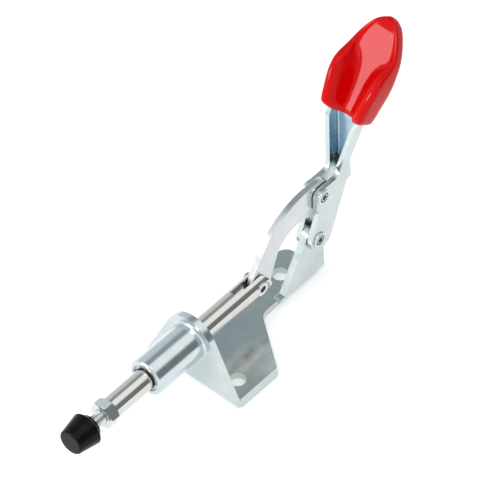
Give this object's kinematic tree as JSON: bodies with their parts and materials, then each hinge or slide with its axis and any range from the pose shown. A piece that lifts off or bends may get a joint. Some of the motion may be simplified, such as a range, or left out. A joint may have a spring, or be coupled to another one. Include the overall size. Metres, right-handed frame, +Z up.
{
  "type": "toggle clamp",
  "caption": "Small push-pull toggle clamp: folded steel base, guided plunger with rubber tip, bowed link and a lever handle with a dipped red grip.",
  "frame": {"origin": "midway between the two front screw holes, on the underside of the base", "axes": "+X the way the plunger pushes, +Z up from the mounting face, +Y to the left of the push"},
  "size_m": [0.1281, 0.0322, 0.0729],
  "materials": {
    "zinc_plate": "bright blue-white zinc plating",
    "turned_steel": "turned and plated",
    "ground_steel": "ground and polished",
    "red_vinyl": "glossy dipped vinyl",
    "black_rubber": "matt moulded rubber"
  },
  "bodies": {
    "base": {"base_bracket": "zinc_plate", "guide_barrel": "turned_steel"},
    "handle": {"handle": "zinc_plate", "grip": "red_vinyl", "handle_pivot": "zinc_plate", "link_pivot": "zinc_plate"},
    "link": {"link": "zinc_plate"},
    "plunger": {"plunger": "ground_steel", "plunger_pin": "zinc_plate", "lock_nut": "zinc_plate"},
    "spindle": {"spindle": "zinc_plate", "rubber_cap": "black_rubber"}
  },
  "joints": [
    {"name": "handle_swing", "type": "hinge", "parent": "base", "child": "handle", "pos_m": [-0.041, 0, 0.0161], "axis": [0, 1, 0], "range_deg": [0, 97.2]},
    {"name": "link_swing", "type": "hinge", "parent": "handle", "child": "link", "pos_m": [-0.04289, 0, 0.03108], "axis": [0, 1, 0], "range_deg": [-128.81, 0]},
    {"name": "plunger_slide", "type": "slide", "parent": "base", "child": "plunger", "axis": [1, 0, 0], "range_m": [0, 0.02124]},
    {"name": "spindle_adjust", "type": "slide", "parent": "plunger", "child": "spindle", "axis": [1, 0, 0], "range_m": [-0.003, 0.006]}
  ],
  "couplings": [
    {"joint": "link_swing", "follows": "handle_swing", "ratio": -1.325},
    {"joint": "plunger_slide", "follows": "handle_swing", "m_per_rad": 0.012514}
  ]
}
